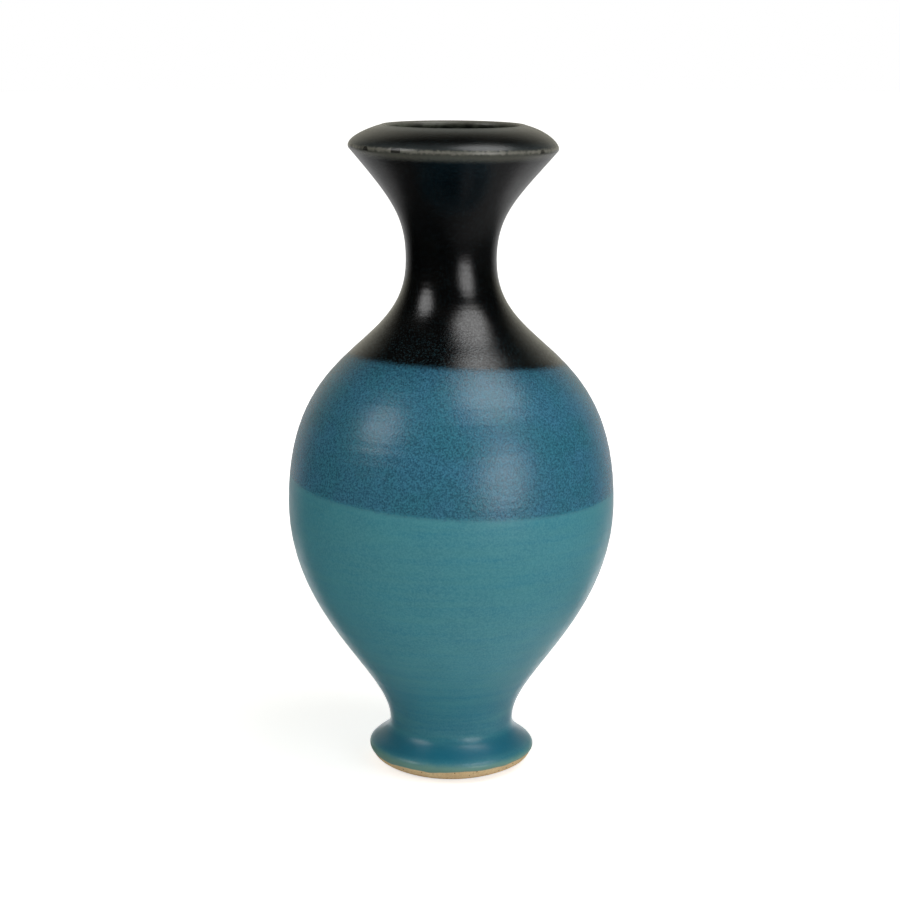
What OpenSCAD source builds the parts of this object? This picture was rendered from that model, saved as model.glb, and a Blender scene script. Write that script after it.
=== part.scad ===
// Ceramic bud vase: a wheel-thrown stoneware body on a turned foot, with a narrow neck under a
// flared cup whose rim folds inwards. Three dipped bands of glaze cover the outside and a liner
// glaze covers the inside. The foot's underside and its bevelled lower edge are bare clay.
//
// Every outline is a chain of cubic curves through a few named stations, given as [radius, height].
// The outer and inner chains are the glazed surfaces. The clay lies one coat's thickness under them.

/* [Body] */
// Diameter at the belly, the widest place
belly_d = 80; // [76:0.5:84]
// Height of the belly's widest place above the table
belly_h = 67; // [64:0.5:70]
// Outer diameter at the middle of the neck
neck_d = 22; // [20:0.5:26]
// Height of the narrowest place of the neck
neck_h = 126.5; // [124:0.5:128]

/* [Foot] */
// Diameter of the circle on which the bare bevel meets the table
ground_d = 31.2; // [29:0.2:33]
// Diameter of the foot at its widest
foot_d = 40.7; // [39:0.1:43]
// Height of the foot's widest place
foot_h = 4.5; // [4.2:0.1:5]
// Diameter of the waist between foot and body
waist_d = 30.6; // [29:0.2:32]
// Height of the waist
waist_h = 11.5; // [11:0.1:12.5]
// Diameter of the recess trimmed into the underside
recess_d = 22; // [18:0.5:24]
// Depth of that recess
recess_depth = 1.2; // [0.8:0.1:2]

/* [Rim] */
// Diameter of the sharp outer ridge
ridge_d = 50.4; // [48:0.1:52]
// Height of the ridge
ridge_h = 153.4; // [152:0.1:154.5]
// Diameter of the circle along the top of the lip
lip_d = 34; // [32:0.2:35]
// Height of the lip, which is the height of the whole vase
vase_h = 158.8; // [158.2:0.1:160]
// Diameter of the mouth just inside the lip
mouth_d = 32; // [31:0.2:33]

/* [Walls] */
// Wall thickness at the belly, glaze included
belly_wall = 4; // [3:0.1:5]
// Wall thickness at the neck
neck_wall = 3.4; // [3:0.1:3.6]
// Thickness of the folded rim, level from the ridge to the hollow under the dome
ridge_wall = 4.4; // [4:0.1:5]
// Height of the middle of the inside floor
floor_h = 17; // [16:0.5:19]

/* [Glaze] */
// Thickness of every coat of glaze
coat_t = 0.4; // [0.3:0.05:0.5]
// Height at which the turquoise coat ends above the bare bevel
glaze_edge_h = 3.3; // [3:0.1:3.6]
// Height at which the turquoise and blue coats meet, on the axis
blue_line_h = 73; // [60:0.5:85]
// Height at which the blue and black coats meet, on the axis
black_line_h = 102.7; // [95:0.1:110]
// Sideways tilt of both lines in degrees, from dipping the vase slightly askew
line_tilt_side = 2.8; // [0:0.1:4]
// Front-to-back tilt of the turquoise and blue line in degrees
blue_tilt_back = 1.9; // [-3:0.1:3]
// Front-to-back tilt of the blue and black line in degrees
black_tilt_back = -3.2; // [-4:0.1:3]

/* [Hidden] */
$fn = 128;

UP = [0, 1];
INWARD = [-1, 0];
// The directions in which the bare bevel leaves the table and arrives at the edge of the glaze
BEVEL_START = [0.92, 0.38];
BEVEL_END = [0.5, 0.87];
// The direction of the cup's straight flare, and of the dome where it meets the lip
FLARE = [0.65, 0.76];
DOME_END = [-0.96, 0.27];

// Outer stations
ground = [ground_d / 2, 0];
glaze_edge = [foot_d / 2 - 0.4, glaze_edge_h];
foot_edge = [foot_d / 2, foot_h];
waist = [waist_d / 2, waist_h];
belly = [belly_d / 2, belly_h];
neck = [neck_d / 2, neck_h];
flare_end = [ridge_d / 2 - 0.2, ridge_h - 0.65];
ridge = [ridge_d / 2, ridge_h];
dome_end = [lip_d / 2 + 0.5, vase_h - 0.15];
crest = [lip_d / 2, vase_h];

// Inner stations
mouth = [mouth_d / 2, vase_h - 1.1];
cup_fold = [ridge_d / 2 - ridge_wall, ridge_h - 0.8];
neck_bore = [neck_d / 2 - neck_wall, neck_h];
belly_bore = [belly_d / 2 - belly_wall, belly_h];
floor_middle = [0, floor_h];

// A cubic curve leaves station a along da for a pull of pa, and arrives at b along db for pb.
function curve(a, da, pa, b, db, pb) = [a, a + pa * da, b - pb * db, b];
function at(c, t) = pow(1 - t, 3) * c[0] + 3 * pow(1 - t, 2) * t * c[1]
                    + 3 * (1 - t) * t * t * c[2] + pow(t, 3) * c[3];
function slope(c, t) = pow(1 - t, 2) * (c[1] - c[0]) + 2 * (1 - t) * t * (c[2] - c[1])
                       + t * t * (c[3] - c[2]);
// The right-hand normal: outwards on the outer chain, towards the cavity on the inner chain
function normal(c, t) = let (d = slope(c, t)) [d[1], -d[0]] / norm(d);
// One curve in n steps, moved by off along its normals
function points(c, n, off) = [for (i = [0 : n]) at(c, i / n) + off * normal(c, i / n)];
function without_first(list) = [for (i = [1 : len(list) - 1]) list[i]];
function reversed(list) = [for (i = [len(list) - 1 : -1 : 0]) list[i]];
// A chain of [curve, steps] pairs, joined end to end
function chain(parts, off) = [
    for (k = [0 : len(parts) - 1])
        let (run = points(parts[k][0], parts[k][1], off))
            each (k == 0 ? run : without_first(run))
];

BARE_BEVEL = [[curve(ground, BEVEL_START, 4.2, glaze_edge, BEVEL_END, 1.2), 8]];
OUTSIDE = [
    [curve(glaze_edge, BEVEL_END, 0.5, foot_edge, UP, 0.5), 5],
    [curve(foot_edge, UP, 1.3, waist, UP, 3.1), 14],
    [curve(waist, UP, 13, belly, UP, 28.5), 26],
    [curve(belly, UP, 40.7, neck, UP, 23), 30],
    [curve(neck, UP, 10.8, flare_end, FLARE, 15.2), 18],
    [curve(flare_end, FLARE, 0.3, ridge, UP, 0.3), 4],
    [curve(ridge, UP, 1.3, dome_end, DOME_END, 5.4), 14],
    [curve(dome_end, DOME_END, 0.2, crest, INWARD, 0.2), 2]
];
INSIDE = [
    [curve(crest, INWARD, 0.6, mouth, -UP, 0.6), 5],
    [curve(mouth, -UP, 1.5, cup_fold, -UP, 2.5), 12],
    [curve(cup_fold, -UP, 2, neck_bore, -UP, 16), 18],
    [curve(neck_bore, -UP, 22, belly_bore, -UP, 37), 26],
    [curve(belly_bore, -UP, 22, floor_middle, INWARD, 13), 24]
];

// The plane of a dip line: a height on the axis, lower on the +X side, tilted front to back.
module below_line(h, tilt_back) {
    translate([0, 0, h])
        rotate([tilt_back, line_tilt_side, 0])
            translate([-belly_d, -belly_d, -2 * vase_h])
                cube([2 * belly_d, 2 * belly_d, 2 * vase_h]);
}

module below_blue_line() {
    below_line(blue_line_h, blue_tilt_back);
}

module below_black_line() {
    below_line(black_line_h, black_tilt_back);
}

// The whole outer skin of glaze, from the bare bevel to the top of the lip
module outer_skin() {
    rotate_extrude()
        polygon(concat(chain(OUTSIDE, 0), reversed(chain(OUTSIDE, -coat_t))));
}

// The thrown and trimmed clay: foot, body, neck and folded rim in one fired piece
module stoneware_body() {
    recess = [
        [0, recess_depth],
        [recess_d / 2 - recess_depth, recess_depth],
        [recess_d / 2, 0]
    ];
    color([0.72, 0.62, 0.46])
        rotate_extrude()
            polygon(concat(
                recess,
                chain(BARE_BEVEL, 0),
                chain(OUTSIDE, -coat_t),
                without_first(chain(INSIDE, -coat_t))
            ));
}

// The lowest coat, from the bare bevel to the blue line
module turquoise_glaze() {
    color([0.18, 0.47, 0.50])
        intersection() {
            outer_skin();
            below_blue_line();
        }
}

// The middle coat, round the upper belly
module blue_glaze() {
    color([0.12, 0.29, 0.43])
        difference() {
            intersection() {
                outer_skin();
                below_black_line();
            }
            below_blue_line();
        }
}

// The top coat, over the shoulder, neck, cup and rim
module black_glaze() {
    color([0.05, 0.06, 0.07])
        difference() {
            outer_skin();
            below_black_line();
        }
}

// The inside coat, which makes the clay hold water
module liner_glaze() {
    color([0.30, 0.33, 0.29])
        rotate_extrude()
            polygon(concat(chain(INSIDE, 0), reversed(chain(INSIDE, -coat_t))));
}

stoneware_body();
turquoise_glaze();
blue_glaze();
black_glaze();
liner_glaze();
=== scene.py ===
# %% [markdown]
# # A ceramic bud vase
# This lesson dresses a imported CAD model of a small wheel-thrown vase. The CAD model says how large
# each piece is and where it stands. This script turns the same outline again as fine meshes with
# the marks that a potter's hand leaves, and mixes a glaze for each coat.

# %% Load the frame
import math

import bpy
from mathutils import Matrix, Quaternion, Vector


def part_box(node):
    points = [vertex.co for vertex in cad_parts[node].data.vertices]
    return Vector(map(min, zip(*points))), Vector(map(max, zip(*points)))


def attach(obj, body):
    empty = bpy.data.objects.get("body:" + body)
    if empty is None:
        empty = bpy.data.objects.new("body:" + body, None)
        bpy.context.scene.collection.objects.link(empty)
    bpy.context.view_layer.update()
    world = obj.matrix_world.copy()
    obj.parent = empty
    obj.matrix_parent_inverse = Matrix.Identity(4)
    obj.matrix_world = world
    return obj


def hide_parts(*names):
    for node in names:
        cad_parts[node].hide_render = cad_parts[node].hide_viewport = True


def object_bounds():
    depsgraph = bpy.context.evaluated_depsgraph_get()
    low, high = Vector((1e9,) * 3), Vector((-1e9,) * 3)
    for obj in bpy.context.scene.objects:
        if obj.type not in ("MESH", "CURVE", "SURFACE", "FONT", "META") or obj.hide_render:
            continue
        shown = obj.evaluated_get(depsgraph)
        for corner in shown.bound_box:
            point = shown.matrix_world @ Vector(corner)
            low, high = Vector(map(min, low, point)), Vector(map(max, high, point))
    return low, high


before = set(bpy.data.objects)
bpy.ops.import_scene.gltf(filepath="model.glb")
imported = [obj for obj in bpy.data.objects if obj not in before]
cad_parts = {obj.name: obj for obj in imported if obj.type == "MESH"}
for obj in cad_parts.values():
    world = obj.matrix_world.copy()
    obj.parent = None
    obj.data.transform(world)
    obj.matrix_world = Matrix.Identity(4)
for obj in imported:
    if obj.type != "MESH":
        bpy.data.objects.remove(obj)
cad_low, cad_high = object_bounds()
print("CAD box in mm:", [round(1000 * (h - l), 1) for l, h in zip(cad_low, cad_high)])

# %% [markdown]
# ## The driving dimensions
# A thrown pot is known by its height, its belly and its foot, and all three are read from the
# frame. A coat of glaze and the recess under the foot are too small to read off so, and have their
# own sizes. All of these are in millimetres, as on a potter's sketch, and MM turns them to metres.

# %% Sizes
MM = 0.001
vase_height = cad_high.z / MM
belly_radius = cad_high.x / MM
glaze_edge_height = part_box("turquoise_glaze")[0].z / MM
RECESS_DEPTH = 1.2
COAT_THICKNESS = 0.4
print(f"vase {vase_height:.1f} mm high, belly radius {belly_radius:.1f} mm")

# %% [markdown]
# ## The outline
# A wheel-thrown shape is one profile turned round an axis. The profile is a chain of cubic curves,
# which is just what a Bezier spline holds: a point, and a handle on each side of it. So each
# station below is a point with the direction in which the profile passes through it, and how far
# it pulls the curve before and after. Drawing it as a mesh of many short edges would also work, but
# a curve keeps its smooth tangent, and the tangent is what tells each coat of glaze where out is.

# %% A station on the profile
UP = Vector((0, 1))
DOWN = Vector((0, -1))
INWARD = Vector((-1, 0))
OUTWARD = Vector((1, 0))


def station(radius, height, direction, pull_before=0.0, pull_after=0.0):
    """One point of the profile: where it is, which way it passes, and its two pulls, in mm."""
    here = Vector((radius, height))
    way = Vector(direction).normalized()
    return here, here - pull_before * way, here + pull_after * way


def draw_profile(name, stations):
    """A Bezier curve through the stations, in the XZ plane, with the vase's axis along Z."""
    data = bpy.data.curves.new(name, "CURVE")
    data.dimensions = "3D"
    data.resolution_u = 32
    spline = data.splines.new("BEZIER")
    spline.bezier_points.add(len(stations) - 1)
    for point, (here, before, after) in zip(spline.bezier_points, stations):
        point.handle_left_type = "FREE"
        point.handle_right_type = "FREE"
        point.co = Vector((here.x, 0, here.y)) * MM
        point.handle_left = Vector((before.x, 0, before.y)) * MM
        point.handle_right = Vector((after.x, 0, after.y)) * MM
    curve = bpy.data.objects.new(name, data)
    bpy.context.scene.collection.objects.link(curve)
    return curve


# %% [markdown]
# ## The outside and the inside
# Going up, the outside passes the bare bevel, the foot's roll, the waist, the belly, the neck, the
# flare and its sharp ridge, and then folds in over the rim's dome to the lip. The inside comes
# back down from the lip a wall's thickness away, and ends on a floor that is thick, because the
# foot was turned out of it.

# %% The stations
RIDGE_RADIUS = 25.2
RIDGE_HEIGHT = 153.6
LIP_RADIUS = 17
NECK_HEIGHT = 126.5
BELLY_HEIGHT = 67
WALL_AT_BELLY = 4
FLOOR_HEIGHT = 17
bevel = [
    station(15.6, 0, (0.92, 0.38), 0, 4.2),
    station(19.95, glaze_edge_height, (0.5, 0.87), 1.2, 0.5),
]
outside = [
    station(20.35, 4.5, UP, 0.5, 1.7),
    station(15.3, 11, UP, 3.4, 13),
    station(belly_radius, BELLY_HEIGHT, UP, 28.5, 40.7),
    station(11, NECK_HEIGHT, UP, 23, 10.8),
    station(25.0, RIDGE_HEIGHT - 0.65, (0.65, 0.76), 15.2, 0.3),
    station(RIDGE_RADIUS, RIDGE_HEIGHT, UP, 0.3, 1.3),
    station(LIP_RADIUS + 0.5, vase_height - 0.15, (-0.96, 0.27), 5.4, 0.2),
    station(LIP_RADIUS, vase_height, INWARD, 0.2, 0),
]
inside = [
    station(LIP_RADIUS, vase_height, INWARD, 0, 0.6),
    station(LIP_RADIUS - 1, vase_height - 1.1, DOWN, 0.6, 1.5),
    station(20.8, 152.6, DOWN, 2.5, 2),
    station(7.6, NECK_HEIGHT, DOWN, 16, 22),
    station(belly_radius - WALL_AT_BELLY, BELLY_HEIGHT, DOWN, 37, 22),
    station(0, FLOOR_HEIGHT, INWARD, 13, 0),
]
skin = bevel + outside
skin_profile = draw_profile("skin_profile", skin)
inner_profile = draw_profile("inner_profile", inside)
print("stations:", len(skin), "outside,", len(inside), "inside")

# %% [markdown]
# ## Where a height lies along the profile
# A coat of glaze starts and stops at a height, but a curve is measured by its length. This helper
# walks the profile in small steps and gives the length at which it first reaches a height.

# %% Length at a height
STEPS = 400


def cubic(a, b, c, d, t):
    """The point at t, from 0 to 1, on one piece of a Bezier curve."""
    s = 1 - t
    return s**3 * a + 3 * s * s * t * b + 3 * s * t * t * c + t**3 * d


def length_at(stations, height=None):
    """The length along the stations, in metres, to a height in mm, or to the end."""
    total = 0.0
    for (p, _, p_after), (q, q_before, _) in zip(stations, stations[1:]):
        last = p
        for i in range(1, STEPS + 1):
            here = cubic(p, p_after, q_before, q, i / STEPS)
            total += (here - last).length
            if height is not None and here.y >= height:
                return total * MM
            last = here
    return total * MM


skin_length = length_at(skin)
inner_length = length_at(inside)
print(f"profile length: outside {skin_length:.4f} m, inside {inner_length:.4f} m")

# %% [markdown]
# ## Small helpers for node trees
# Node trees made in a script read best when each line is one step. `add` makes a node and fills
# its inputs, each with a value or another node's output. `calc` is a Math node, `product` and
# `hypotenuse` are short chains of them, and `smooth` is a soft step.

# %% Node helpers


def add(tree, kind, inputs=None, **settings):
    """A node of this kind, with its settings and its inputs filled."""
    node = tree.nodes.new(kind)
    for key, value in settings.items():
        setattr(node, key, value)
    for key, value in (inputs or {}).items():
        if isinstance(value, bpy.types.NodeSocket):
            tree.links.new(value, node.inputs[key])
        else:
            node.inputs[key].default_value = value
    return node


def calc(tree, operation, *values, clamp=False):
    """The output of one Math node."""
    node = add(tree, "ShaderNodeMath", dict(enumerate(values)), operation=operation)
    node.use_clamp = clamp
    return node.outputs[0]


def product(tree, *factors):
    """All the factors multiplied together."""
    result = factors[0]
    for factor in factors[1:]:
        result = calc(tree, "MULTIPLY", result, factor)
    return result


def hypotenuse(tree, a, b):
    """The long side over two sides a and b."""
    return calc(tree, "SQRT", calc(tree, "ADD", product(tree, a, a), product(tree, b, b)))


def parts_of(tree, vector):
    """The X, Y and Z of a vector."""
    node = add(tree, "ShaderNodeSeparateXYZ", {"Vector": vector})
    return node.outputs["X"], node.outputs["Y"], node.outputs["Z"]


def new_sockets(tree, in_out, sockets):
    """Named sockets on a group: a list of (name, kind, default)."""
    for name, kind, default in sockets:
        socket = tree.interface.new_socket(name=name, in_out=in_out, socket_type=kind)
        if default is not None:
            socket.default_value = default


def floats(defaults):
    """Number sockets, from their names and defaults."""
    return [(name, "NodeSocketFloat", value) for name, value in defaults.items()]


def smooth(tree, value, low, high, start=0.0, end=1.0):
    """A soft step from start to end as value goes from low to high."""
    return add(tree, "ShaderNodeMapRange", {
        "Value": value, "From Min": low, "From Max": high, "To Min": start, "To Max": end
    }, interpolation_type="SMOOTHSTEP").outputs["Result"]


# %% [markdown]
# ## A coat turned on the wheel
# A lathe made with a modifier such as Screw would give a perfect turned shape. Geometry Nodes can
# do more: here a flat grid is wrapped round the axis, and each row of it asks the profile where it
# should be. The rows can then start and stop on a tilted line, because the pot was dipped askew,
# and the line can wander. The first two helpers place such a grid and find such a line.

# %% A wrapped grid and a coat's line


def grid_part(tree, sockets, fields, depth, name):
    """One wrapped grid, moved out by depth along the profile's normal."""
    grid = add(tree, "GeometryNodeMeshGrid", {
        "Size X": 1.0, "Size Y": 1.0,
        "Vertices X": sockets["Around"], "Vertices Y": sockets["Along"],
    })
    grid.label = name
    radius = calc(tree, "MULTIPLY_ADD", fields["normal_r"], depth, fields["radius"])
    height = calc(tree, "MULTIPLY_ADD", fields["normal_z"], depth, fields["height"])
    place = add(tree, "ShaderNodeCombineXYZ", {
        "X": product(tree, radius, fields["cos"]),
        "Y": product(tree, radius, fields["sin"]),
        "Z": height,
    })
    return add(tree, "GeometryNodeSetPosition", {
        "Geometry": grid.outputs["Mesh"], "Position": place.outputs[0]
    }).outputs[0]


def on_profile(tree, profile, length):
    """The place and the tangent at this length along the profile."""
    there = add(tree, "GeometryNodeSampleCurve", {
        "Curves": profile, "Length": length
    }, mode="LENGTH")
    return parts_of(tree, there.outputs["Position"]), parts_of(tree, there.outputs["Tangent"])


LEAST_RISE = 0.2


def line_length(tree, profile, sockets, end, cos, sin):
    """The length at which the coat's start or end line crosses the profile at this angle."""
    (radius, _, _), (_, _, tangent_z) = on_profile(tree, profile, sockets[end + " Length"])
    side = product(tree, cos, sockets[end + " Side Slope"], radius)
    back = product(tree, sin, sockets[end + " Back Slope"], radius)
    ring = add(tree, "ShaderNodeCombineXYZ", {"X": cos, "Y": sin, "Z": sockets[end + " Length"]})
    noise = add(tree, "ShaderNodeTexNoise", {
        "Vector": ring.outputs[0], "Scale": sockets[end + " Wander Scale"], "Detail": 3.0
    })
    wander = calc(tree, "SUBTRACT", noise.outputs["Fac"], 0.5)
    wander = product(tree, wander, sockets[end + " Wander"])
    rise = calc(tree, "ADD", calc(tree, "ADD", side, back), wander)
    # where the profile is level, a small rise would mean a very long way along it
    steepness = calc(tree, "MAXIMUM", calc(tree, "ABSOLUTE", tangent_z), LEAST_RISE)
    return calc(tree, "ADD", calc(tree, "DIVIDE", rise, steepness), sockets[end + " Length"])


# %% [markdown]
# ## The marks of the hand
# A potter's finger climbs while the wheel turns, so a shallow spiral runs round the wall. It is
# wiped away at the foot and faint on the neck. Glaze draws up into a bead where it ends on bare
# clay. And a soft pot lifted off the wheel leans a little at the rim and the foot. Bump in a
# material could fake the first two, but not in the outline, so all three move the mesh.

# %% Spiral, bead and lean
TURN = 2 * math.pi
LIP_LEAN = 0.35


def spiral(tree, sockets, u, cos, sin, height):
    """The throwing spiral: one turn per pitch, stronger in some bands than in others."""
    turns = calc(tree, "SUBTRACT", calc(tree, "DIVIDE", height, sockets["Ring Pitch"]), u)
    uneven = add(tree, "ShaderNodeCombineXYZ", {
        "X": product(tree, cos, 0.25), "Y": product(tree, sin, 0.25), "Z": turns
    })
    band = add(tree, "ShaderNodeTexNoise", {
        "Vector": uneven.outputs[0], "Scale": 0.55, "Detail": 1.0
    }).outputs["Fac"]
    wave = calc(tree, "SINE", calc(tree, "MULTIPLY_ADD", turns, TURN, product(tree, band, 9.0)))
    above_foot = smooth(tree, height, 12 * MM, 24 * MM)
    below_neck = smooth(tree, height, 106 * MM, 114 * MM, 1.0, 0.15)
    return product(tree, product(tree, wave, band, sockets["Ring Depth"]),
                   product(tree, above_foot, below_neck))


def edge_bead(tree, from_edge):
    """How far a point is up the bead that a glaze draws into at its bare edge, 0 to 1."""
    return product(tree, smooth(tree, from_edge, 0.0, 0.5 * MM),
                   smooth(tree, from_edge, 0.6 * MM, 3.5 * MM, 1.0, 0.0))


def lean_offset(tree, sockets):
    """How far each point moves, because the rim and the foot's edge lean."""
    x, _, z = parts_of(tree, add(tree, "GeometryNodeInputPosition").outputs[0])
    at_rim = smooth(tree, z, 126 * MM, 153 * MM)
    lip_lean = smooth(tree, z, 154 * MM, 158 * MM, 1.0, LIP_LEAN)
    at_foot = product(tree, smooth(tree, z, 0.0, 4 * MM),
                      smooth(tree, z, 5 * MM, 12 * MM, 1.0, 0.0))
    rim_lift = product(tree, product(tree, at_rim, lip_lean), product(tree, x, sockets["Rim Tilt"]))
    foot_lift = product(tree, at_foot, product(tree, x, sockets["Foot Tilt"]))
    return add(tree, "ShaderNodeCombineXYZ", {
        "X": product(tree, at_rim, sockets["Rim Shift"]),
        "Z": calc(tree, "ADD", rim_lift, foot_lift),
    }).outputs[0]


# %% [markdown]
# ## The tree
# The tree joins these parts. A coat of glaze is a shell, so a second grid lies a coat's thickness
# below the first and comes up to meet it at both ends. The clay has no such grid, because its
# profile is closed by itself. Merging by distance then closes the seam and the poles.

# %% The inputs of the turned coat


def end_inputs(end, length):
    """The inputs that place one end of a coat."""
    return floats({
        end + " Length": length, end + " Side Slope": 0.0, end + " Back Slope": 0.0,
        end + " Wander": 0.0, end + " Wander Scale": 3.0,
    })


COAT_INPUTS = [
    ("Profile", "NodeSocketObject", None),
    ("Around", "NodeSocketInt", 257),
    ("Along", "NodeSocketInt", 128),
    *floats({
        "Start Crowding": 1.0, "End Crowding": 1.0,
        "Coat Thickness": COAT_THICKNESS * MM, "Edge Bead": 0.0,
    }),
    *end_inputs("Start", 0.0),
    *end_inputs("End", 0.1),
    *floats({
        "Ring Depth": 0.0, "Ring Pitch": 3.2 * MM,
        "Rim Tilt": 0.0, "Rim Shift": 0.0, "Foot Tilt": 0.0,
    }),
    ("Glaze", "NodeSocketMaterial", None),
]
print("inputs of a turned coat:", len(COAT_INPUTS))

# %% The turned coat tree
WELD = 2e-6
FOLD_ANGLE = 1.2


def where_true(tree, value, limit):
    """True where the value is over the limit."""
    return add(tree, "FunctionNodeCompare", {"A": value, "B": limit},
               data_type="FLOAT", operation="GREATER_THAN").outputs[0]


def coat_shell(tree, sockets):
    """The closed shell of one coat, before it leans."""
    profile = add(tree, "GeometryNodeObjectInfo", {"Object": sockets["Profile"]}).outputs["Geometry"]
    # where each grid point lies: u round the axis, v along the profile
    x, y, _ = parts_of(tree, add(tree, "GeometryNodeInputPosition").outputs[0])
    u = calc(tree, "ADD", x, 0.5)
    v = calc(tree, "ADD", y, 0.5)
    angle = product(tree, u, TURN)
    cos = calc(tree, "COSINE", angle)
    sin = calc(tree, "SINE", angle)
    # rows crowd towards an edge that curves tightly
    start = line_length(tree, profile, sockets, "Start", cos, sin)
    end = line_length(tree, profile, sockets, "End", cos, sin)
    crowded = calc(tree, "POWER", v, sockets["Start Crowding"])
    crowded = calc(tree, "POWER", calc(tree, "SUBTRACT", 1.0, crowded), sockets["End Crowding"])
    crowded = calc(tree, "SUBTRACT", 1.0, crowded)
    length = calc(tree, "MULTIPLY_ADD", calc(tree, "SUBTRACT", end, start), crowded, start)
    (radius, _, height), (tangent_x, _, tangent_z) = on_profile(tree, profile, length)
    fields = {
        "cos": cos, "sin": sin, "radius": radius, "height": height,
        "normal_r": tangent_z, "normal_z": product(tree, tangent_x, -1.0),
    }
    bead = edge_bead(tree, calc(tree, "SUBTRACT", length, start))
    raised = calc(tree, "MULTIPLY_ADD", bead, sockets["Edge Bead"],
                  spiral(tree, sockets, u, cos, sin, height))
    outer = grid_part(tree, sockets, fields, raised, "glazed surface")
    # the side against the clay comes up to meet the surface at both ends of the coat
    across = calc(tree, "ABSOLUTE", calc(tree, "MULTIPLY_ADD", v, 2.0, -1.0))
    thick = calc(tree, "SUBTRACT", 1.0, calc(tree, "POWER", across, 24.0))
    under = calc(tree, "SUBTRACT", raised, product(tree, thick, sockets["Coat Thickness"]))
    inner = grid_part(tree, sockets, fields, under, "side against the clay")
    flipped = add(tree, "GeometryNodeFlipFaces", {"Mesh": inner})
    shell = add(tree, "GeometryNodeJoinGeometry")
    tree.links.new(outer, shell.inputs[0])
    tree.links.new(flipped.outputs[0], shell.inputs[0])
    picked = add(tree, "GeometryNodeSwitch", {
        "Switch": where_true(tree, sockets["Coat Thickness"], 0.0),
        "False": outer, "True": shell.outputs[0],
    }, input_type="GEOMETRY")
    return add(tree, "GeometryNodeMergeByDistance", {
        "Geometry": picked.outputs[0], "Distance": WELD
    }).outputs[0]


def make_coat_tree():
    """The whole tree: the shell, its lean, its shading and its glaze."""
    tree = bpy.data.node_groups.new("turned coat", "GeometryNodeTree")
    new_sockets(tree, "OUTPUT", [("Mesh", "NodeSocketGeometry", None)])
    new_sockets(tree, "INPUT", COAT_INPUTS)
    sockets = {s.name: s for s in add(tree, "NodeGroupInput").outputs if s.name}
    thrown = add(tree, "GeometryNodeSetPosition", {
        "Geometry": coat_shell(tree, sockets), "Offset": lean_offset(tree, sockets)
    })
    shaded = add(tree, "GeometryNodeSetShadeSmooth", {"Geometry": thrown.outputs[0]})
    # where a coat ends, its surface folds over, and that edge stays sharp
    turned_by = add(tree, "GeometryNodeInputMeshEdgeAngle").outputs["Unsigned Angle"]
    folded = add(tree, "GeometryNodeSetShadeSmooth", {
        "Geometry": shaded.outputs[0], "Shade Smooth": False,
        "Selection": where_true(tree, turned_by, FOLD_ANGLE),
    }, domain="EDGE")
    real = add(tree, "GeometryNodeRealizeInstances", {"Geometry": folded.outputs[0]})
    glazed = add(tree, "GeometryNodeSetMaterial", {
        "Geometry": real.outputs[0], "Material": sockets["Glaze"]
    })
    add(tree, "NodeGroupOutput", {"Mesh": glazed.outputs[0]})
    return tree


coat_tree = make_coat_tree()
print("turned coat:", len(coat_tree.nodes), "nodes")

# %% [markdown]
# ## Glaze effects as shader groups
# Four effects are shared by several glazes, so each is a node group built once: the dip line where
# one coat ends, the mottle of crystals and bubbles, the streaks that throwing leaves, and the way
# glaze breaks thin over a sharp edge. Each reads the position on the pot, so a band runs true
# from one coat to the next, and gives a value that the glaze mixes into its own colours.
#
# The first is the dip line. A pot held askew in a bucket of glaze comes out with a tilted line that
# wavers a little. So it is a tilted plane with some noise on its height.

# %% Group: how far a point is above a dip line


def shader_group(name, inputs, outputs):
    """A shader group that reads a Position: its tree, inputs and results."""
    tree = bpy.data.node_groups.new(name, "ShaderNodeTree")
    new_sockets(tree, "INPUT", [("Position", "NodeSocketVector", None)] + floats(inputs))
    new_sockets(tree, "OUTPUT", floats(dict.fromkeys(outputs)))
    start = add(tree, "NodeGroupInput")
    end = add(tree, "NodeGroupOutput")
    return tree, start.outputs, end.inputs


def noise(tree, vector, scale, detail=2.0, roughness=0.5):
    """The value of a noise texture, about 0 to 1."""
    node = add(tree, "ShaderNodeTexNoise", {
        "Vector": vector, "Scale": scale, "Detail": detail, "Roughness": roughness
    })
    return node.outputs["Fac"]


def make_dip_line():
    tree, given, result = shader_group("dip line", {
        "Height": 0.07, "Side Slope": 0.0, "Back Slope": 0.0,
        "Wander": 0.5 * MM, "Wander Scale": 120.0,
    }, ["Distance"])
    x, y, z = parts_of(tree, given["Position"])
    line = calc(tree, "MULTIPLY_ADD", x, given["Side Slope"], given["Height"])
    line = calc(tree, "MULTIPLY_ADD", y, given["Back Slope"], line)
    wander = noise(tree, given["Position"], given["Wander Scale"], 4.0)
    wander = calc(tree, "SUBTRACT", wander, 0.5)
    line = calc(tree, "MULTIPLY_ADD", wander, given["Wander"], line)
    tree.links.new(calc(tree, "SUBTRACT", z, line), result["Distance"])
    return tree


dip_line = make_dip_line()

# %% [markdown]
# ## Mottle
# A cooling glaze grows crystals and traps bubbles, so it is finely speckled and faintly clouded.
# Two noise textures of very different grain give both, and Voronoi cells give the separate specks.

# %% Group: mottle


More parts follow.
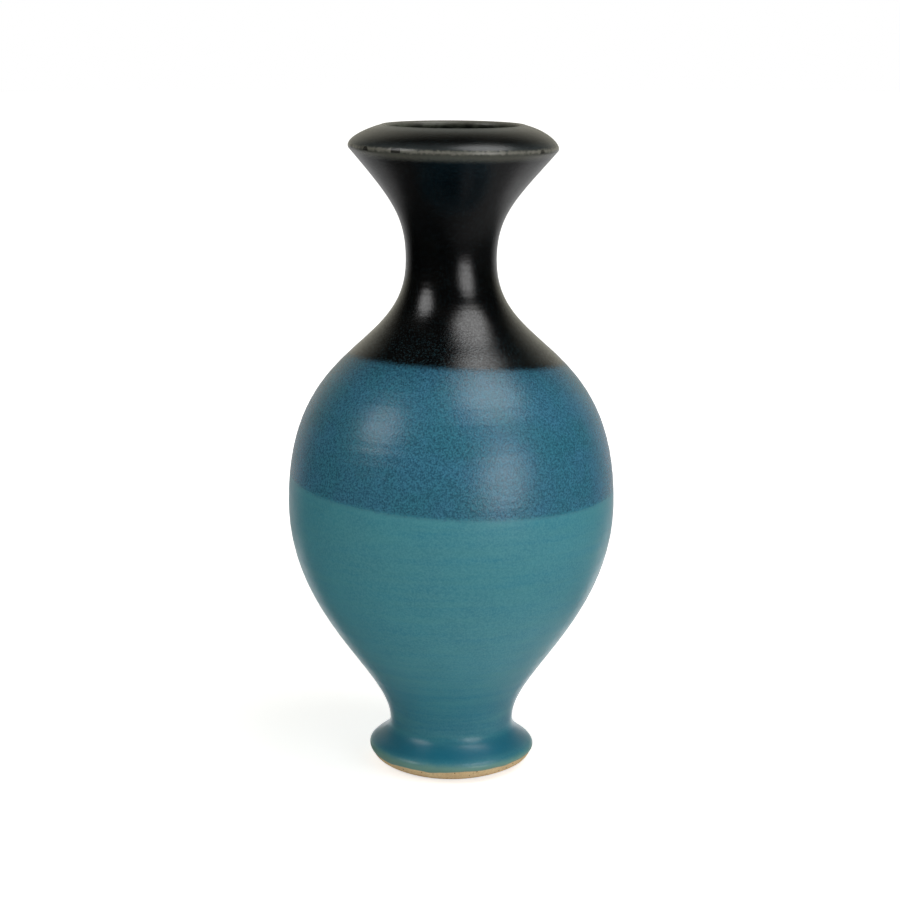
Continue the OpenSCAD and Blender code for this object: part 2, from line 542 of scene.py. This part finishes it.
def make_mottle():
    tree, given, result = shader_group("glaze mottle", {
        "Grain": 0.5 * MM, "Cloud": 9 * MM
    }, ["Speckle", "Specks", "Clouds"])
    grain_scale = calc(tree, "DIVIDE", 1.0, given["Grain"])
    cloud_scale = calc(tree, "DIVIDE", 1.0, given["Cloud"])
    speckle = noise(tree, given["Position"], grain_scale, 2.0, 0.6)
    clouds = noise(tree, given["Position"], cloud_scale, 3.0, 0.55)
    # a speck sits in the middle of some cells, and each cell draws its own strength
    cells = add(tree, "ShaderNodeTexVoronoi", {
        "Vector": given["Position"], "Scale": grain_scale
    }).outputs
    strength = add(tree, "ShaderNodeSeparateColor", {"Color": cells["Color"]}).outputs["Red"]
    specks = product(tree, smooth(tree, cells["Distance"], 0.2, 0.6, 1.0, 0.0),
                     smooth(tree, strength, 0.25, 1.0))
    tree.links.new(smooth(tree, speckle, 0.25, 0.75), result["Speckle"])
    tree.links.new(specks, result["Specks"])
    tree.links.new(smooth(tree, clouds, 0.3, 0.7), result["Clouds"])
    return tree


mottle = make_mottle()

# %% [markdown]
# ## Throwing streaks
# The fingers leave fine level lines in the clay, and a thin glaze shows them as streaks. A wave
# texture would make them even, so this is noise, squeezed in height and drawn out sideways.

# %% Group: throwing streaks


def make_streaks():
    tree, given, result = shader_group("throwing streaks", {
        "Pitch": 1.6 * MM, "Stretch": 14.0
    }, ["Streak"])
    x, y, z = parts_of(tree, given["Position"])
    wide = product(tree, given["Pitch"], given["Stretch"])
    squeezed = add(tree, "ShaderNodeCombineXYZ", {
        "X": calc(tree, "DIVIDE", x, wide),
        "Y": calc(tree, "DIVIDE", y, wide),
        "Z": calc(tree, "DIVIDE", z, given["Pitch"]),
    })
    streak = noise(tree, squeezed.outputs[0], 1.0, 3.0, 0.6)
    tree.links.new(smooth(tree, streak, 0.28, 0.72), result["Streak"])
    return tree


streaks = make_streaks()

# %% [markdown]
# ## Glaze that breaks
# Molten glaze runs off a sharp edge, and what is left there is thin and pale: potters say that it
# breaks. The edges here are rings, so the mask is the distance from a ring, made ragged by noise.
# A pointiness node would find edges by itself, but not just the ones that matter.

# %% Group: glaze breaking over an edge


def make_break():
    tree, given, result = shader_group("glaze break", {
        "Edge Radius": 25 * MM, "Edge Height": 153 * MM, "Edge Tilt": 0.0, "Edge Shift": 0.0,
        "Width": 1.0 * MM, "Raggedness": 0.5 * MM, "Grain": 1.5 * MM,
    }, ["Break"])
    x, y, z = parts_of(tree, given["Position"])
    x = calc(tree, "SUBTRACT", x, given["Edge Shift"])
    edge = calc(tree, "MULTIPLY_ADD", x, given["Edge Tilt"], given["Edge Height"])
    across = calc(tree, "SUBTRACT", hypotenuse(tree, x, y), given["Edge Radius"])
    away = hypotenuse(tree, across, calc(tree, "SUBTRACT", z, edge))
    grain_scale = calc(tree, "DIVIDE", 1.0, given["Grain"])
    ragged = calc(tree, "SUBTRACT", noise(tree, given["Position"], grain_scale, 4.0, 0.6), 0.5)
    away = calc(tree, "MULTIPLY_ADD", ragged, given["Raggedness"], away)
    near = calc(tree, "SUBTRACT", 1.0, calc(tree, "DIVIDE", away, given["Width"]), clamp=True)
    tree.links.new(near, result["Break"])
    return tree


glaze_break = make_break()
print("shader groups:", [g.name for g in bpy.data.node_groups if g.bl_idname == "ShaderNodeTree"])

# %% [markdown]
# ## Where the pot was dipped and how it leans
# The two dip lines are tilted planes. Their slopes and heights are used twice, once to cut the
# coats and once to fade the colours across the line, so they are kept in one place.

# %% Dip lines and lean


def slope_of(degrees):
    """Rise over run."""
    return math.tan(math.radians(degrees))


blue_dip = {"Height": 73 * MM, "Side Slope": -slope_of(2.8), "Back Slope": slope_of(1.9)}
black_dip = {"Height": 102.7 * MM, "Side Slope": -slope_of(2.8), "Back Slope": -slope_of(3.2)}
RIM_TILT = -slope_of(1.1)
RIM_SHIFT = 0.5 * MM
FOOT_TILT = -slope_of(1.0)
LIP_TILT = LIP_LEAN * RIM_TILT
print(f"dip lines {blue_dip['Height'] / MM:.1f} and {black_dip['Height'] / MM:.1f} mm up")

# %% [markdown]
# ## Helpers for the glazes
# Every glaze starts with a Principled shader and the object's own coordinates, which are metres on
# the pot. `use` places one of the groups, and `blend` lays one colour over another.

# %% Helpers for the glazes


def new_glaze(name):
    """A material with its tree, its Principled shader and the position on the pot."""
    material = bpy.data.materials.new(name)
    material.use_nodes = True
    tree = material.node_tree
    shader = tree.nodes["Principled BSDF"]
    position = add(tree, "ShaderNodeTexCoord").outputs["Object"]
    return material, tree, shader, position


def use(tree, group, position, values=None):
    """A shader group placed in a glaze, with its own values. Gives the group's outputs."""
    inputs = {"Position": position, **(values or {})}
    return add(tree, "ShaderNodeGroup", inputs, node_tree=group).outputs


def colour(red, green, blue):
    """A paint chip's colour, 0 to 255, as the linear values that a shader uses."""
    def linear(c):
        c /= 255
        return c / 12.92 if c <= 0.04045 else ((c + 0.055) / 1.055) ** 2.4
    return (linear(red), linear(green), linear(blue), 1.0)


def blend(tree, factor, first, second):
    """first where the factor is 0 and second where it is 1."""
    # these are the Mix node's colour sockets
    inputs = {0: factor, 6: first, 7: second}
    return add(tree, "ShaderNodeMix", inputs, data_type="RGBA").outputs[2]


def bump(tree, shader, height, distance):
    """Fine relief from a height of 0 to 1, where 1 stands for this distance."""
    node = add(tree, "ShaderNodeBump", {"Height": height, "Distance": distance})
    tree.links.new(node.outputs["Normal"], shader.inputs["Normal"])


def roughen(tree, shader, mask, low, high, dulled=None):
    """The roughness wanders between two values with the mask, and may be dulled further."""
    rough = smooth(tree, mask, 0.0, 1.0, low, high)
    if dulled is not None:
        rough = calc(tree, "ADD", rough, dulled)
    tree.links.new(rough, shader.inputs["Roughness"])


# %% [markdown]
# ## The coloured glazes
# The coats meet in soft lines less than two millimetres wide, where one has run into the other. If
# each material stopped at the edge of its mesh, the line would be as hard as tape. So one function
# mixes all three outside colours by height, and all three coats use it: the mesh edge falls in the
# middle of the fade and can't be seen. The colours are paint chips, from 0 to 255.

# %% The paint chips
TURQUOISE = colour(54, 135, 157)
# a deeper turquoise for the clouds, and also the painted shade towards the waist
TURQUOISE_CLOUD_AND_SHADE = colour(34, 118, 145)
TURQUOISE_GREEN = colour(78, 148, 153)
TURQUOISE_PALE = colour(86, 159, 172)
POOLED = colour(20, 112, 140)
# the pale of glaze broken thin, which also carries a painted highlight along the foot's roll
BROKEN_EDGE_AND_HIGHLIGHT = colour(122, 164, 150)
BLUE = colour(72, 138, 169)
BLUE_TEAL = colour(62, 136, 159)
BLUE_DARK = colour(18, 56, 80)
BLACK = colour(3, 3, 4)
BLACK_TEAL = colour(26, 48, 54)
BLACK_BROWN = colour(10, 9, 7)
ASH_GREY = colour(122, 121, 113)
LIP_GREY = colour(152, 152, 142)
OLIVE_GREY = colour(88, 88, 80)
COOL_GREY = colour(70, 77, 79)
LINER_DARK = colour(34, 38, 32)
LINER_PALE = colour(98, 104, 90)
LINER_SPECK = colour(20, 22, 20)
# painted shade inside the mouth
LINER_SHADE = colour(16, 18, 16)
CLAY_PALE = colour(250, 222, 176)
CLAY_WARM = colour(236, 204, 158)
CLAY_SAND = colour(176, 142, 102)
IRON = colour(92, 62, 40)
print("blue as the shader sees it:", [round(c, 3) for c in BLUE[:3]])

# %% [markdown]
# ## Turquoise and blue
# The lowest coat is thin over the belly, where the streaks show, and darker towards the waist,
# which is painted shade under the belly. It pools dark on top of the foot and breaks pale over the
# foot's edge, where the pale is partly a painted highlight along the roll. The blue above it is
# full of dark specks, which crowd together where the black has run into it.

# %% Turquoise and blue


def turquoise_colour(tree, position, z, fine, streak):
    """Turquoise, with painted shade towards the waist, pooling on the foot, and thin over the foot's
    edge with a painted highlight along it.
    """
    # painted shade: the turquoise darkens towards the waist, where the belly above shades it
    waist_shade = smooth(tree, z, 32 * MM, 12 * MM)
    base = blend(tree, product(tree, waist_shade, 0.9), TURQUOISE, TURQUOISE_CLOUD_AND_SHADE)
    base = blend(tree, product(tree, streak, 0.6), base, TURQUOISE_GREEN)
    base = blend(tree, product(tree, fine["Clouds"], 0.25), base, TURQUOISE_CLOUD_AND_SHADE)
    grain = smooth(tree, z, 15 * MM, 40 * MM, 0.35, 0.8)
    base = blend(tree, product(tree, fine["Speckle"], grain), base, TURQUOISE_PALE)
    pool = product(tree, smooth(tree, z, 10.5 * MM, 8 * MM), smooth(tree, z, 5.4 * MM, 6.6 * MM))
    base = blend(tree, product(tree, pool, 0.7), base, POOLED)
    # the pale band over the foot's roll is glaze broken thin there, and partly a painted highlight
    # along the roll
    thin = use(tree, glaze_break, position, {
        "Edge Radius": 20.3 * MM, "Edge Height": 3.8 * MM, "Edge Tilt": FOOT_TILT,
        "Width": 2.0 * MM, "Raggedness": 0.8 * MM, "Grain": 2.5 * MM,
    })["Break"]
    return blend(tree, smooth(tree, thin, 0.0, 0.8, 0.0, 0.85), base, BROKEN_EDGE_AND_HIGHLIGHT)


def blue_colour(tree, fine, above_black):
    """Blue with dark specks, which crowd together under the black."""
    base = blend(tree, fine["Clouds"], BLUE, BLUE_TEAL)
    base = blend(tree, product(tree, fine["Speckle"], 0.7), base, BLUE_DARK)
    under = smooth(tree, above_black, -6 * MM, 0.5 * MM, 0.0, 0.3)
    base = blend(tree, under, base, BLUE_DARK)
    crowded = smooth(tree, above_black, -8 * MM, 0.0, 0.45, 1.0)
    return blend(tree, product(tree, fine["Specks"], crowded), base, BLUE_DARK)


# %% [markdown]
# ## Black
# The top coat is a black that goes teal in specks where it thins over the blue. It breaks to grey
# over three rings: just under the ridge, on the ridge's crest, and round the lip, each with a wide
# faint band and a narrow strong one. In a few places on the crest it has crawled back together.

# %% Black


def ring_at(radius, height, tilt):
    """Where a ring lies on the leaning rim, as inputs of the glaze break group."""
    return {
        "Edge Radius": radius * MM, "Edge Height": height * MM,
        "Edge Tilt": tilt, "Edge Shift": RIM_SHIFT,
    }


ridge = ring_at(RIDGE_RADIUS - 0.6, RIDGE_HEIGHT - 0.8, RIM_TILT)
crest = ring_at(RIDGE_RADIUS - 0.1, RIDGE_HEIGHT + 0.2, RIM_TILT)
lip = ring_at(LIP_RADIUS - 0.4, vase_height, LIP_TILT)


def black_colour(tree, position, fine, above_black):
    """Black, teal where it thins over the blue, and grey where it breaks over ridge and lip."""
    base = blend(tree, product(tree, fine["Clouds"], 0.6), BLACK, BLACK_BROWN)
    thinner = smooth(tree, above_black, 11 * MM, 0.0, 0.25, 1.0)
    teal = product(tree, thinner, smooth(tree, fine["Speckle"], 0.5, 1.0))
    base = blend(tree, teal, base, BLACK_TEAL)
    worn = 0.0
    for edge, width, ragged, grain, tone, strength in [
        (crest, 3.4 * MM, 1.0 * MM, 2.0 * MM, COOL_GREY, 0.55),
        (ridge, 2.1 * MM, 1.4 * MM, 0.7 * MM, OLIVE_GREY, 0.85),
        (crest, 0.7 * MM, 1.4 * MM, 1.0 * MM, ASH_GREY, 0.9),
        (lip, 4.6 * MM, 1.0 * MM, 2.4 * MM, COOL_GREY, 0.75),
        (lip, 0.65 * MM, 0.3 * MM, 1.2 * MM, LIP_GREY, 0.95),
    ]:
        near = use(tree, glaze_break, position, {
            **edge, "Width": width, "Raggedness": ragged, "Grain": grain
        })["Break"]
        mask = smooth(tree, near, 0.0, 1.05, 0.0, strength)
        base = blend(tree, mask, base, tone)
        worn = calc(tree, "MAXIMUM", worn, mask)
    on_crest = use(tree, glaze_break, position, {
        **crest, "Width": 0.9 * MM, "Raggedness": 0.5 * MM, "Grain": 1.0 * MM
    })["Break"]
    nicks = use(tree, mottle, position, {"Grain": 3.2 * MM, "Cloud": 30 * MM})["Specks"]
    nicks = product(tree, smooth(tree, nicks, 0.3, 0.6), smooth(tree, on_crest, 0.2, 0.6))
    base = blend(tree, product(tree, nicks, 0.8), base, BLACK)
    return base, worn


# %% [markdown]
# ## The three outside glazes
# The colours are now laid over each other from the foot up. Over the satin lies a clear coat that
# is strong only in the fine crystals, so that highlights sparkle. Each coat has its own roughness
# and relief, because the black is glassier than the blue.

# %% The outside, from the foot up


def outside_colour(tree, position):
    """The dipped outside at any height: its colour, relief, mottle, dullness and glints."""
    fine = use(tree, mottle, position, {"Grain": 0.46 * MM, "Cloud": 8 * MM})
    streak = use(tree, streaks, position, {"Pitch": 1.7 * MM, "Stretch": 16.0})["Streak"]
    _, _, z = parts_of(tree, position)
    above_blue = use(tree, dip_line, position, {
        **blue_dip, "Wander": 1.8 * MM, "Wander Scale": 1800.0
    })["Distance"]
    above_black = use(tree, dip_line, position, {
        **black_dip, "Wander": 2.2 * MM, "Wander Scale": 2400.0
    })["Distance"]
    low = turquoise_colour(tree, position, z, fine, streak)
    # the pale fringe where the turquoise thickens just under the blue
    fringe = product(tree, smooth(tree, above_blue, -2.2 * MM, -0.6 * MM),
                     smooth(tree, above_blue, -0.6 * MM, 0.4 * MM, 1.0, 0.0))
    low = blend(tree, product(tree, fringe, 0.15), low, TURQUOISE_PALE)
    middle = blue_colour(tree, fine, above_black)
    top, worn = black_colour(tree, position, fine, above_black)
    whole = blend(tree, smooth(tree, above_blue, -0.8 * MM, 0.8 * MM), low, middle)
    whole = blend(tree, smooth(tree, above_black, -1.0 * MM, 0.8 * MM), whole, top)
    # throwing streaks show through the thin turquoise and blue, and drown in the black
    shown = smooth(tree, above_black, -2 * MM, 2 * MM, 0.3, 0.0)
    height = calc(tree, "MULTIPLY_ADD", streak, shown, fine["Speckle"])
    # above the ridge, and wherever the glaze has broken thin, the gloss is duller
    folded_in = smooth(tree, z, (RIDGE_HEIGHT - 1) * MM, (RIDGE_HEIGHT + 1) * MM)
    dull = calc(tree, "MAXIMUM", worn, folded_in)
    # crystals glint more in the black than in the colours, and less towards the cup
    glint = product(tree, fine["Speckle"], smooth(tree, above_black, -MM, MM, 0.3, 0.75),
                    smooth(tree, z, 118 * MM, 138 * MM, 1.0, 0.3))
    return whole, height, fine, dull, glint


def make_outside_glaze(name, rough_low, rough_high, bump_depth):
    """The glaze of one outside coat."""
    material, tree, shader, position = new_glaze(name)
    whole, height, fine, dull, glint = outside_colour(tree, position)
    tree.links.new(whole, shader.inputs["Base Color"])
    roughen(tree, shader, fine["Clouds"], rough_low, rough_high, product(tree, dull, 0.05))
    tree.links.new(glint, shader.inputs["Coat Weight"])
    shader.inputs["Coat Roughness"].default_value = 0.2
    bump(tree, shader, height, bump_depth)
    return material


turquoise_glaze = make_outside_glaze("turquoise_glaze", 0.28, 0.34, 0.012 * MM)
blue_glaze = make_outside_glaze("blue_glaze", 0.22, 0.27, 0.03 * MM)
black_glaze = make_outside_glaze("black_glaze", 0.17, 0.21, 0.014 * MM)

# %% [markdown]
# ## The liner glaze and the bare clay
# The liner is a plain grey-green glaze, poured in and out again, so it is cloudy and unevenly
# thick. Below the lip it is darkened by painted shade, for the shade in the mouth and under the rim.
# The bare clay is the only matt surface: a buff body with iron specks, scored by the trimming tool
# in fine rings.

# %% Liner and clay


def make_liner_glaze():
    """Cloudy grey-green, darkened below the lip by painted shade, and broken to grey at the lip."""
    material, tree, shader, position = new_glaze("liner_glaze")
    cloudy = use(tree, mottle, position, {"Grain": 0.9 * MM, "Cloud": 3.5 * MM})
    base = blend(tree, cloudy["Clouds"], LINER_DARK, LINER_PALE)
    base = blend(tree, product(tree, cloudy["Speckle"], 0.3), base, LINER_SPECK)
    _, _, z = parts_of(tree, position)
    # painted shade: the liner darkens below the lip, where the inside of the mouth lies in shade
    inside_shade = smooth(tree, z, (vase_height - 1.4) * MM, (vase_height - 4.5) * MM, 0.0, 0.8)
    base = blend(tree, inside_shade, base, LINER_SHADE)
    thin = use(tree, glaze_break, position, {
        **ring_at(LIP_RADIUS - 0.6, vase_height, LIP_TILT),
        "Width": 1.4 * MM, "Raggedness": 0.6 * MM, "Grain": 1.4 * MM,
    })["Break"]
    base = blend(tree, smooth(tree, thin, 0.0, 0.9, 0.0, 0.9), base, ASH_GREY)
    tree.links.new(base, shader.inputs["Base Color"])
    roughen(tree, shader, cloudy["Clouds"], 0.3, 0.42)
    bump(tree, shader, cloudy["Speckle"], 0.04 * MM)
    return material


def make_bare_clay():
    """Matt buff clay with sand, iron specks and fine scored rings."""
    material, tree, shader, position = new_glaze("bare_stoneware")
    sand = use(tree, mottle, position, {"Grain": 0.45 * MM, "Cloud": 6 * MM})
    specks = use(tree, mottle, position, {"Grain": 0.9 * MM, "Cloud": 20 * MM})["Specks"]
    scoring = use(tree, streaks, position, {"Pitch": 0.45 * MM, "Stretch": 60.0})["Streak"]
    base = blend(tree, sand["Clouds"], CLAY_PALE, CLAY_WARM)
    base = blend(tree, product(tree, sand["Speckle"], 0.25), base, CLAY_SAND)
    base = blend(tree, smooth(tree, specks, 0.75, 1.0, 0.0, 0.7), base, IRON)
    tree.links.new(base, shader.inputs["Base Color"])
    shader.inputs["IOR"].default_value = 1.4
    roughen(tree, shader, sand["Speckle"], 0.78, 0.92)
    height = calc(tree, "ADD", scoring, sand["Speckle"])
    bump(tree, shader, height, 0.05 * MM)
    return material


liner_glaze = make_liner_glaze()
bare_stoneware = make_bare_clay()
print("materials:", [m.name for m in bpy.data.materials if m.use_nodes])

# %% [markdown]
# ## Turning the pieces
# Each piece is the same tree with its own profile, start and end. Its inputs are set by the
# sockets' identifiers, then the evaluated result is copied to a plain mesh, and the modifier goes.

# %% Turn a piece


def turn(name, profile, glaze, values):
    """One turned piece as a plain mesh object at the origin."""
    blank = bpy.data.objects.new(name + "_blank", bpy.data.meshes.new(name + "_blank"))
    bpy.context.scene.collection.objects.link(blank)
    modifier = blank.modifiers.new("turned coat", "NODES")
    modifier.node_group = coat_tree
    keys = {s.name: s.identifier for s in coat_tree.interface.items_tree if s.in_out == "INPUT"}
    lean = {"Rim Tilt": RIM_TILT, "Rim Shift": RIM_SHIFT, "Foot Tilt": FOOT_TILT}
    for key, value in {"Profile": profile, "Glaze": glaze, **lean, **values}.items():
        modifier[keys[key]] = value
    bpy.context.view_layer.update()
    ready = blank.evaluated_get(bpy.context.evaluated_depsgraph_get())
    mesh = bpy.data.meshes.new_from_object(ready)
    mesh.name = name
    blank.modifiers.remove(modifier)
    bpy.data.objects.remove(blank)
    piece = bpy.data.objects.new(name, mesh)
    bpy.context.scene.collection.objects.link(piece)
    print(f"{name}: {len(mesh.vertices)} points, {len(mesh.polygons)} faces")
    return piece


# %% [markdown]
# ## The three outer coats
# All three lie on the outside's profile, one above the other. Where two meet, the end of the lower
# and the start of the upper are given the same line, so their edges match point for point. The
# lowest starts on the bevel, on a line of its own that wanders more, as a wiped edge does.

# %% Turquoise, blue and black
edge_length = length_at(skin, glaze_edge_height)
blue_length = length_at(skin, blue_dip["Height"] / MM)
black_length = length_at(skin, black_dip["Height"] / MM)
rings = {"Ring Depth": 0.02 * MM, "Ring Pitch": 3.4 * MM}
AROUND_OUTSIDE = 225
AROUND_INSIDE = 193


def line(end, length, dip):
    """The inputs that start or end a coat on a dip line."""
    return {
        end + " Length": length,
        end + " Side Slope": dip["Side Slope"],
        end + " Back Slope": dip["Back Slope"],
    }


turquoise_coat = turn("turquoise_coat", skin_profile, turquoise_glaze, {
    "Around": AROUND_OUTSIDE, "Along": 190, "Start Crowding": 1.4, "Edge Bead": 0.2 * MM,
    "Start Length": edge_length, "Start Side Slope": slope_of(1.8),
    "Start Wander": 1.6 * MM, "Start Wander Scale": 2.2,
    **line("End", blue_length, blue_dip), **rings,
})
blue_coat = turn("blue_coat", skin_profile, blue_glaze, {
    "Around": AROUND_OUTSIDE, "Along": 110,
    **line("Start", blue_length, blue_dip), **line("End", black_length, black_dip), **rings,
})
black_coat = turn("black_coat", skin_profile, black_glaze, {
    "Around": AROUND_OUTSIDE, "Along": 190, "End Crowding": 1.4,
    **line("Start", black_length, black_dip), "End Length": skin_length, **rings,
})

# %% [markdown]
# ## The liner and the clay
# The liner hangs on the inside's profile. The clay is one closed body: its profile runs from the
# recess under the foot, up the bare bevel, under the glaze to the lip and down inside to the floor.

# %% Liner
liner_coat = turn("liner_coat", inner_profile, liner_glaze, {
    "Around": AROUND_INSIDE, "Along": 200, "Start Crowding": 1.6,
    "Start Length": 0.0, "End Length": inner_length,
})

# %% Clay


def under_the_glaze(stations, depth):
    """The same stations, moved a coat's thickness to the left of the way they pass."""
    moved = []
    for here, before, after in stations:
        way = (after - before).normalized()
        shift = Vector((-way.y, way.x)) * depth
        moved.append((here + shift, before + shift, after + shift))
    return moved


recess = [
    station(0, RECESS_DEPTH, OUTWARD),
    station(9.8, RECESS_DEPTH, OUTWARD),
    station(11, 0, OUTWARD),
]
hidden_outside = under_the_glaze(outside[1:], COAT_THICKNESS)
hidden_inside = under_the_glaze(inside[1:], COAT_THICKNESS)
clay_stations = recess + bevel[:1] + [
    station(20.0, glaze_edge_height, (0.4, 0.9), 1.2, 0.4),
    station(20.2, 4.4, UP, 0.4, 0.6),
] + hidden_outside + hidden_inside
clay_profile = draw_profile("clay_profile", clay_stations)
stoneware = turn("stoneware", clay_profile, bare_stoneware, {
    "Around": AROUND_INSIDE, "Along": 380, "Start Crowding": 1.7, "Coat Thickness": 0.0,
    "Start Length": 0.0, "End Length": length_at(clay_stations),
})

# %% [markdown]
# ## Handing the pieces over
# Each turned piece takes the place of one node of the CAD model and wears that node's glaze. The
# pot has no moving parts, so every piece rides on the root. The profiles go.

# %% Put each piece on the root and hide its CAD node
for piece, node, slot in [
    (stoneware, "stoneware_body", "bare_stoneware"),
    (turquoise_coat, "turquoise_glaze", "turquoise_glaze"),
    (blue_coat, "blue_glaze", "blue_glaze"),
    (black_coat, "black_glaze", "black_glaze"),
    (liner_coat, "liner_glaze", "liner_glaze"),
]:
    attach(piece, "root")
    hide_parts(node)
for profile in (inner_profile, skin_profile, clay_profile):
    bpy.data.objects.remove(profile)

# %% [markdown]
# ## The table
# The vase stands on a plain white table. A glossy black pot mirrors everything near it, and in a
# room that is white all round it would look grey. So the table is white to the camera, but a much
# dimmer sheet to the rays that the glaze mirrors, as black cards in a studio would make it.

# %% Table
TABLE_GAP = 0.05 * MM


def table_glow(tree, ray):
    """How bright the table is by itself: to the camera, and to the glaze that mirrors it."""
    x, y, _ = parts_of(tree, add(tree, "ShaderNodeTexCoord").outputs["Object"])
    away = hypotenuse(tree, x, y)
    # near the pot the table takes its shadow, and further out it fades into the white room
    seen = product(tree, smooth(tree, away, 0.06, 0.45, 0.66, 1.0), ray["Is Camera Ray"])
    # mirrored, it is a dim sheet: paler to the right and by the foot, and palest behind the pot
    sheet = product(tree, smooth(tree, away, 0.12, 0.45, 1.0, 0.15),
                    smooth(tree, x, -0.1, 0.15, 0.03, 0.22))
    by_foot = product(tree, smooth(tree, away, 0.04, 0.1, 0.25, 0.0),
                      smooth(tree, x, -0.05, 0.05, 0.1, 1.0))
    behind = smooth(tree, calc(tree, "DIVIDE", y, away), 0.4, 0.95, 0.0, 0.5)
    mirrored = calc(tree, "MULTIPLY_ADD", behind, smooth(tree, away, 0.12, 0.25, 2.2, 1.0),
                    calc(tree, "ADD", sheet, by_foot))
    return calc(tree, "MULTIPLY_ADD", mirrored, ray["Is Glossy Ray"], seen)


def make_table():
    """A wide white table. To the pot it is a dimmer grey, so that it doesn't fog the black."""
    bpy.ops.mesh.primitive_circle_add(vertices=128, radius=4.0, fill_type="NGON")
    table = bpy.context.object
    table.name = "table"
    table.location.z = -TABLE_GAP
    material = bpy.data.materials.new("table_white")
    material.use_nodes = True
    tree = material.node_tree
    shader = tree.nodes["Principled BSDF"]
    ray = add(tree, "ShaderNodeLightPath").outputs
    tone = smooth(tree, ray["Is Glossy Ray"], 0.0, 1.0, 0.92, 0.0)
    tree.links.new(tone, shader.inputs["Base Color"])
    shader.inputs["Emission Color"].default_value = (1, 1, 1, 1)
    tree.links.new(table_glow(tree, ray), shader.inputs["Emission Strength"])
    shader.inputs["Roughness"].default_value = 0.9
    shader.inputs["Specular IOR Level"].default_value = 0.0
    table.data.materials.append(material)


make_table()

# %% [markdown]
# ## The lights
# Satin glaze shows its lights as soft patches, so the lights are what shape it: a window to the
# left, a taller one to the right, and a panel high on the right. The neck would mirror a plain area
# light as a hard block, so each light is an ellipse that fades outwards, by nodes of its own.

# %% Lights
AIM = Vector((0, 0, 0.085))
LIGHT_DISTANCE = 0.9


def window(name, azimuths, elevations, radiance, core, lean=0):
    """A round light that fills these angles as the pot sees it. Azimuth 0 is in front, 90 right.

    It is even out to the core, a share of its radius, and fades from there to its edge. Its top
    leans to the right by this many degrees.
    """
    a = math.radians(sum(azimuths) / 2)
    e = math.radians(sum(elevations) / 2)
    way = Vector((math.sin(a) * math.cos(e), -math.cos(a) * math.cos(e), math.sin(e)))
    half_wide = math.radians(azimuths[1] - azimuths[0]) / 2 * math.cos(e)
    half_high = math.radians(elevations[1] - elevations[0]) / 2
    data = bpy.data.lights.new(name, "AREA")
    data.shape = "ELLIPSE"
    data.size = 2 * LIGHT_DISTANCE * math.tan(half_wide)
    data.size_y = 2 * LIGHT_DISTANCE * math.tan(half_high)
    data.energy = radiance * math.pi * math.pi / 4 * data.size * data.size_y
    data.use_nodes = True
    tree = data.node_tree
    u, v, _ = parts_of(tree, add(tree, "ShaderNodeNewGeometry").outputs["Parametric"])
    u = calc(tree, "SUBTRACT", u, 0.5)
    v = calc(tree, "SUBTRACT", v, 0.5)
    strength = smooth(tree, hypotenuse(tree, u, v), core / 2, 0.5, 1.0, 0.0)
    tree.links.new(strength, tree.nodes["Emission"].inputs["Strength"])
    light = bpy.data.objects.new(name, data)
    light.location = AIM + LIGHT_DISTANCE * way
    facing = (-way).to_track_quat("-Z", "Y") @ Quaternion((0, 0, 1), -math.radians(lean))
    light.rotation_euler = facing.to_euler()
    bpy.context.scene.collection.objects.link(light)
    print(f"{name}: {data.size:.2f} by {data.size_y:.2f} m, {data.energy:.1f} W")


window("left_window", (-83, -43), (17, 53), 2.95, 0.55)
window("right_window", (14, 60), (-22, 40), 3.0, 0.3, lean=22)
window("high_panel", (0, 112), (36, 88), 3.25, 0.4)

# %% [markdown]
# ## The room
# The room is white to the camera. To the pot it is dark in front and pale behind, because a pale
# wall behind edges a round black pot with grey light. A weak, warm fill lifts the shaded side.

# %% Room


def make_world():
    """A world that each kind of ray sees in its own way."""
    world = bpy.data.worlds.new("studio")
    bpy.context.scene.world = world
    world.use_nodes = True
    tree = world.node_tree
    background = tree.nodes["Background"]
    _, y, _ = parts_of(tree, add(tree, "ShaderNodeTexCoord").outputs["Generated"])
    ray = add(tree, "ShaderNodeLightPath").outputs
    behind = smooth(tree, y, 0.4, 0.98, 0.01, 0.49)
    fill = product(tree, ray["Is Diffuse Ray"], 0.18)
    light = calc(tree, "MAXIMUM", calc(tree, "ADD", behind, fill), ray["Is Camera Ray"])
    tree.links.new(light, background.inputs["Strength"])
    warmth = blend(tree, ray["Is Camera Ray"], (1.0, 0.97, 0.82, 1), (1, 1, 1, 1))
    tree.links.new(warmth, background.inputs["Color"])


make_world()
bpy.context.scene.view_settings.view_transform = "Standard"

# %% [markdown]
# ## The camera
# A short telephoto lens half a metre away looks a little down, so that the mouth opens as a thin
# ellipse and the foot shows its bare edge.

# %% Camera
CAMERA_BACK = 508.2048 * MM
CAMERA_UP = 187.9716 * MM
CAMERA_RIGHT = -0.3 * MM
PITCH_DOWN = 12.04
data = bpy.data.cameras.new("camera")
data.lens = 84.6
data.sensor_width = 36
camera = bpy.data.objects.new("camera", data)
bpy.context.scene.collection.objects.link(camera)
camera.location = (CAMERA_RIGHT, -CAMERA_BACK, CAMERA_UP)
camera.rotation_euler = (math.radians(90 - PITCH_DOWN), 0, 0)
bpy.context.scene.camera = camera
print(f"camera {CAMERA_BACK / MM:.0f} mm in front and {CAMERA_UP / MM:.0f} mm up")
